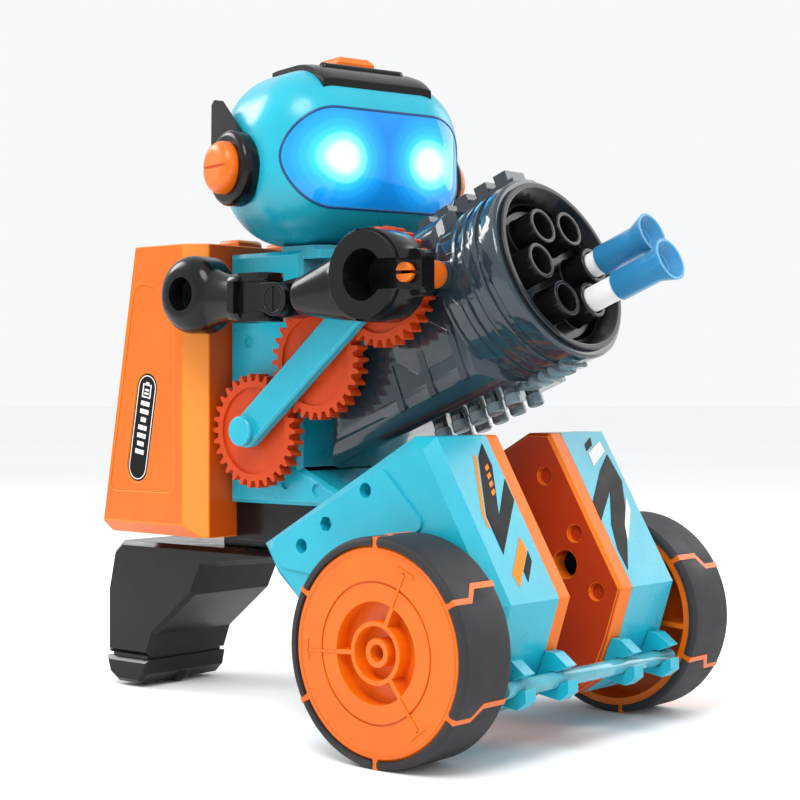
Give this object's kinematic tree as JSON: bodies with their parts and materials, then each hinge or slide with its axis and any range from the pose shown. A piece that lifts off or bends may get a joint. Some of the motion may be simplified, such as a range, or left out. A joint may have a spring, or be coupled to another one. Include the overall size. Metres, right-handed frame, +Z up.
{
  "type": "toy dart-blaster robot",
  "caption": "Wheeled toy robot with a rotating dart cannon held between geared arms, a turning domed head, a backpack battery box and a rear skid.",
  "frame": {"origin": "on the floor, under the middle of the whole toy", "axes": "+Z up, -Y the way the toy faces, -X its own right side"},
  "size_m": [0.171, 0.2752, 0.2655],
  "materials": {
    "cyan_plastic": "satin",
    "orange_plastic": "gloss",
    "gear_orange": "satin",
    "black_plastic": "satin",
    "smoky_plastic": "gloss",
    "visor_blue": "gloss",
    "tyre_rubber": "matte",
    "dart_foam": "matte",
    "dart_cup": "satin",
    "led": "gloss",
    "steel": "satin",
    "circuit_green": "matte"
  },
  "bodies": {
    "chassis": {"torso_shell_right": "cyan_plastic", "torso_shell_left": "cyan_plastic", "gear_arms": "cyan_plastic", "arm_motor": "steel", "shoulder_axle": "black_plastic", "pelvis_block": "black_plastic", "rear_boot": "black_plastic", "boot_sole": "black_plastic", "backpack_shell": "orange_plastic", "battery_door_right": "orange_plastic", "battery_door_left": "orange_plastic", "battery_trays": "black_plastic", "battery_cells": "steel", "circuit_board": "circuit_green", "leg_shell_right": "cyan_plastic", "leg_shell_left": "cyan_plastic", "leg_inner_right": "gear_orange", "leg_inner_left": "gear_orange", "toe_clips": "cyan_plastic", "toe_rod": "smoky_plastic", "drive_gearboxes": "black_plastic", "drive_motors": "steel"},
    "wheel_right": {"wheel_hub_right": "orange_plastic", "tyre_right": "tyre_rubber", "wheel_axle_right": "steel"},
    "wheel_left": {"wheel_hub_left": "orange_plastic", "tyre_left": "tyre_rubber", "wheel_axle_left": "steel"},
    "cannon": {"cannon_shell_right": "smoky_plastic", "cannon_shell_left": "smoky_plastic", "muzzle_ring": "black_plastic", "firing_motor": "steel", "cannon_pegs": "orange_plastic", "gears_upper": "gear_orange"},
    "barrels": {"barrel_cluster": "black_plastic"},
    "near_dart": {"dart_near_stem": "dart_foam", "dart_near_cup": "dart_cup"},
    "far_dart": {"dart_far_stem": "dart_foam", "dart_far_cup": "dart_cup"},
    "middle_gear_right": {"gear_middle_right": "gear_orange"},
    "middle_gear_left": {"gear_middle_left": "gear_orange"},
    "lower_gears": {"lower_gears_and_shaft": "gear_orange"},
    "arm_right": {"upper_arm_right": "black_plastic", "elbow_joint_right": "black_plastic"},
    "arm_left": {"upper_arm_left": "black_plastic", "elbow_joint_left": "black_plastic"},
    "hand_right": {"forearm_right": "black_plastic"},
    "hand_left": {"forearm_left": "black_plastic"},
    "head": {"head_shell_front": "cyan_plastic", "head_shell_rear": "cyan_plastic", "visor": "visor_blue", "eye_panel": "black_plastic", "eye_leds": "led", "head_band": "black_plastic", "neck_shaft": "black_plastic", "ear_drums": "black_plastic", "ear_caps": "orange_plastic", "ear_fins": "black_plastic"},
    "button": {"head_button": "orange_plastic"},
    "switch": {"power_switch": "black_plastic"}
  },
  "joints": [
    {"name": "wheel_right_spin", "type": "hinge", "parent": "chassis", "child": "wheel_right", "pos_m": [-0.072, -0.07436, 0.04], "axis": [1, 0, 0], "continuous": true},
    {"name": "wheel_left_spin", "type": "hinge", "parent": "chassis", "child": "wheel_left", "pos_m": [0.072, -0.07436, 0.04], "axis": [1, 0, 0], "continuous": true},
    {"name": "cannon_pitch", "type": "hinge", "parent": "chassis", "child": "cannon", "pos_m": [0, -0.03606, 0.169], "axis": [-1, 0, 0], "range_deg": [-6, 14]},
    {"name": "barrel_spin", "type": "hinge", "parent": "cannon", "child": "barrels", "pos_m": [0, -0.09203, 0.17597], "axis": [0, -0.9272, 0.3746], "continuous": true},
    {"name": "near_dart_slide", "type": "slide", "parent": "barrels", "child": "near_dart", "axis": [0, -0.9272, 0.3746], "range_m": [-0.011, 0.022]},
    {"name": "far_dart_slide", "type": "slide", "parent": "barrels", "child": "far_dart", "axis": [0, -0.9272, 0.3746], "range_m": [0, 0.03]},
    {"name": "middle_gear_right_turn", "type": "hinge", "parent": "chassis", "child": "middle_gear_right", "pos_m": [-0.035, -0.00258, 0.14139], "axis": [-1, 0, 0], "range_deg": [-14.5, 6.5]},
    {"name": "middle_gear_left_turn", "type": "hinge", "parent": "chassis", "child": "middle_gear_left", "pos_m": [0.035, -0.00258, 0.14139], "axis": [-1, 0, 0], "range_deg": [-14.5, 6.5]},
    {"name": "lower_gears_turn", "type": "hinge", "parent": "chassis", "child": "lower_gears", "pos_m": [0, 0.03091, 0.11379], "axis": [-1, 0, 0], "range_deg": [-6.5, 14.5]},
    {"name": "shoulder_right_swing", "type": "hinge", "parent": "chassis", "child": "arm_right", "pos_m": [-0.0555, 0.04564, 0.168], "axis": [-1, 0, 0], "range_deg": [-1.08, 0.63]},
    {"name": "shoulder_left_swing", "type": "hinge", "parent": "chassis", "child": "arm_left", "pos_m": [0.0555, 0.04564, 0.168], "axis": [-1, 0, 0], "range_deg": [-1.08, 0.63]},
    {"name": "elbow_right_bend", "type": "hinge", "parent": "arm_right", "child": "hand_right", "pos_m": [-0.0555, -0.00436, 0.1645], "axis": [-1, 0, 0], "range_deg": [-3.7, 8.22]},
    {"name": "elbow_left_bend", "type": "hinge", "parent": "arm_left", "child": "hand_left", "pos_m": [0.0555, -0.00436, 0.1645], "axis": [-1, 0, 0], "range_deg": [-3.7, 8.22]},
    {"name": "head_turn", "type": "hinge", "parent": "chassis", "child": "head", "pos_m": [0, 0.01764, 0.19], "axis": [0, 0, 1], "range_deg": [-20, 50]},
    {"name": "head_button_press", "type": "slide", "parent": "head", "child": "button", "axis": [0, 0, -1], "range_m": [0, 0.002], "stiffness_N_per_m": 400},
    {"name": "power_switch_slide", "type": "slide", "parent": "chassis", "child": "switch", "axis": [1, 0, 0], "range_m": [0, 0.0048]}
  ],
  "couplings": [
    {"joint": "middle_gear_right_turn", "follows": "cannon_pitch", "ratio": -1},
    {"joint": "middle_gear_left_turn", "follows": "cannon_pitch", "ratio": -1},
    {"joint": "lower_gears_turn", "follows": "cannon_pitch", "ratio": 1},
    {"joint": "shoulder_right_swing", "follows": "cannon_pitch", "ratio": -0.0555},
    {"joint": "shoulder_left_swing", "follows": "cannon_pitch", "ratio": -0.0555},
    {"joint": "elbow_right_bend", "follows": "cannon_pitch", "ratio": 0.566},
    {"joint": "elbow_left_bend", "follows": "cannon_pitch", "ratio": 0.566}
  ]
}
